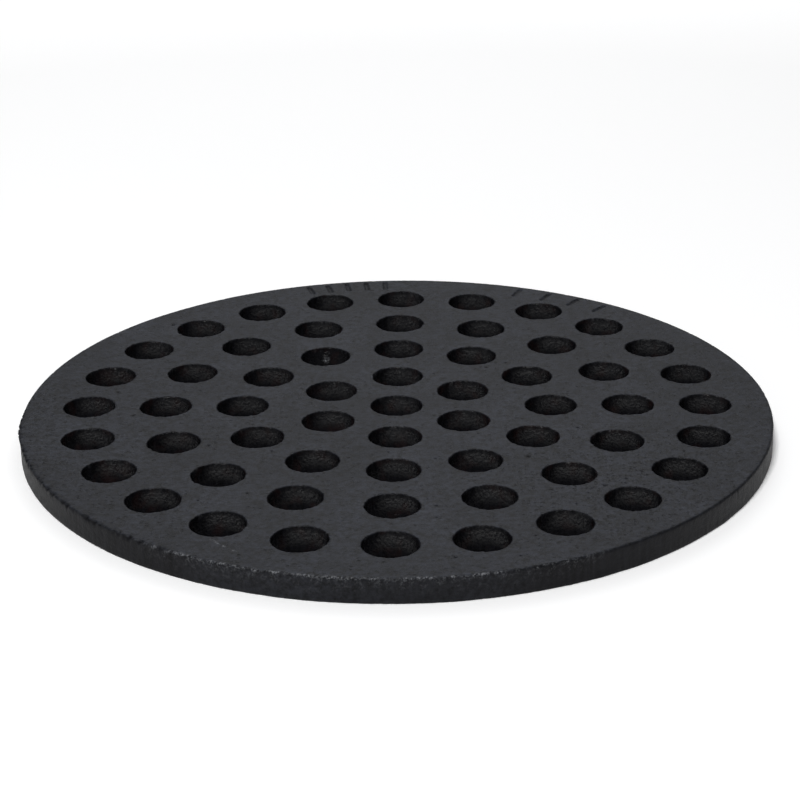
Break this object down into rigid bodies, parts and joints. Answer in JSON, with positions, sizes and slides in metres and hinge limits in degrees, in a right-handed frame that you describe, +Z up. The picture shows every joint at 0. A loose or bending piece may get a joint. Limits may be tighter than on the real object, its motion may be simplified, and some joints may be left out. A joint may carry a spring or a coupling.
{
  "type": "round floor drain cover",
  "caption": "Flat round cast-iron cover that drops into a drain body and lets water through rings of round holes.",
  "frame": {"origin": "centre of the underside, on the plane of the ledge that the cover rests on", "axes": "+Z up through the thickness, towards the walking surface; +Y through one hole of every ring"},
  "size_m": [0.165, 0.165, 0.0055],
  "materials": {
    "black_cast_iron": "sand-cast grey iron, dipped in a thin satin black coating"
  },
  "bodies": {
    "root": {"grate_plate": "black_cast_iron"}
  },
  "joints": []
}
